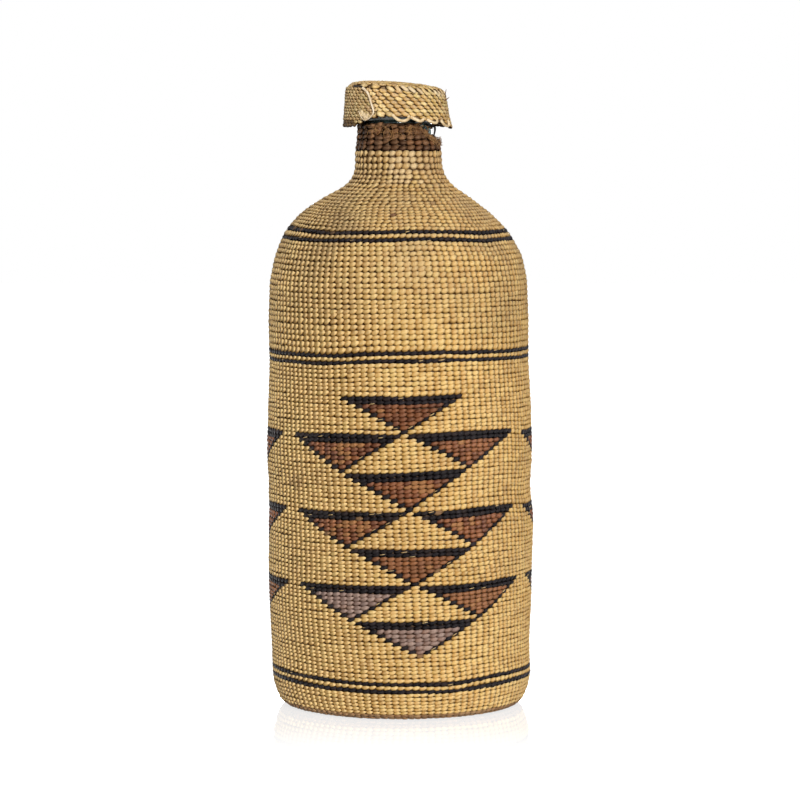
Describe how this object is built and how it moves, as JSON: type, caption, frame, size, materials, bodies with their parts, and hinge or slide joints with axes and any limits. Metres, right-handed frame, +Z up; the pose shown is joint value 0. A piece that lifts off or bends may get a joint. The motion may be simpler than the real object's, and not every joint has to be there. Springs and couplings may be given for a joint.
{
  "type": "basketry covered bottle",
  "caption": "Glass bottle in a close twined basketry cover with stepped triangle figures, a cork and a plaited cap that lifts off.",
  "frame": {"origin": "centre of the base, on the surface that the bottle stands on", "axes": "+Z up along the bottle's axis; -Y is the front, as in the picture; +X to its right"},
  "size_m": [0.106, 0.106, 0.2488],
  "materials": {
    "green_glass": "smooth dark green glass, nearly black where it is thick",
    "cork": "dry cork with small pits",
    "root": "split root, matt brown, worn",
    "straw": "glossy golden grass overlay",
    "black_stem": "black fern stem, satin",
    "brown_stem": "dyed brown stem, satin",
    "faded_stem": "dyed stem, faded and worn",
    "neck_root": "dark brown root, frayed",
    "cap_straw": "pale plaited grass"
  },
  "bodies": {
    "root": {"glass_bottle": "green_glass", "root_warps": "root", "base_start": "root", "base_twining": "straw", "base_turn_course": "root", "foot_twining": "straw", "low_black_course_1": "black_stem", "low_straw_course": "straw", "low_black_course_2": "black_stem", "middle_black_course_1": "black_stem", "middle_straw_course": "straw", "middle_black_course_2": "black_stem", "high_black_course_1": "black_stem", "high_straw_course": "straw", "high_black_course_2": "black_stem", "figured_twining": "straw", "upper_twining": "straw", "shoulder_twining": "straw", "neck_straw_courses": "straw", "neck_brown_courses": "neck_root", "black_figure_1": "black_stem", "black_figure_2": "black_stem", "black_figure_3": "black_stem", "brown_fill_1_01": "brown_stem", "brown_fill_1_02": "brown_stem", "brown_fill_1_03": "brown_stem", "brown_fill_1_04": "brown_stem", "brown_fill_1_05": "brown_stem", "brown_fill_1_06": "brown_stem", "brown_fill_1_07": "brown_stem", "brown_fill_1_08": "faded_stem", "brown_fill_1_09": "brown_stem", "brown_fill_1_10": "faded_stem", "brown_fill_2_01": "brown_stem", "brown_fill_2_02": "brown_stem", "brown_fill_2_03": "brown_stem", "brown_fill_2_04": "brown_stem", "brown_fill_2_05": "brown_stem", "brown_fill_2_06": "brown_stem", "brown_fill_2_07": "brown_stem", "brown_fill_2_08": "faded_stem", "brown_fill_2_09": "brown_stem", "brown_fill_2_10": "faded_stem", "brown_fill_3_01": "brown_stem", "brown_fill_3_02": "brown_stem", "brown_fill_3_03": "brown_stem", "brown_fill_3_04": "brown_stem", "brown_fill_3_05": "brown_stem", "brown_fill_3_06": "brown_stem", "brown_fill_3_07": "brown_stem", "brown_fill_3_08": "faded_stem", "brown_fill_3_09": "brown_stem", "brown_fill_3_10": "faded_stem"},
    "stopper": {"cork_stopper": "cork"},
    "cap": {"cap_top": "cap_straw", "cap_rim": "cap_straw", "cap_band": "cap_straw", "cap_tail": "cap_straw"}
  },
  "joints": [
    {"name": "stopper_lift", "type": "slide", "parent": "root", "child": "stopper", "axis": [0, 0, 1], "range_m": [0, 0.03]},
    {"name": "cap_lift", "type": "slide", "parent": "stopper", "child": "cap", "axis": [0, 0, 1], "range_m": [0, 0.03]}
  ]
}
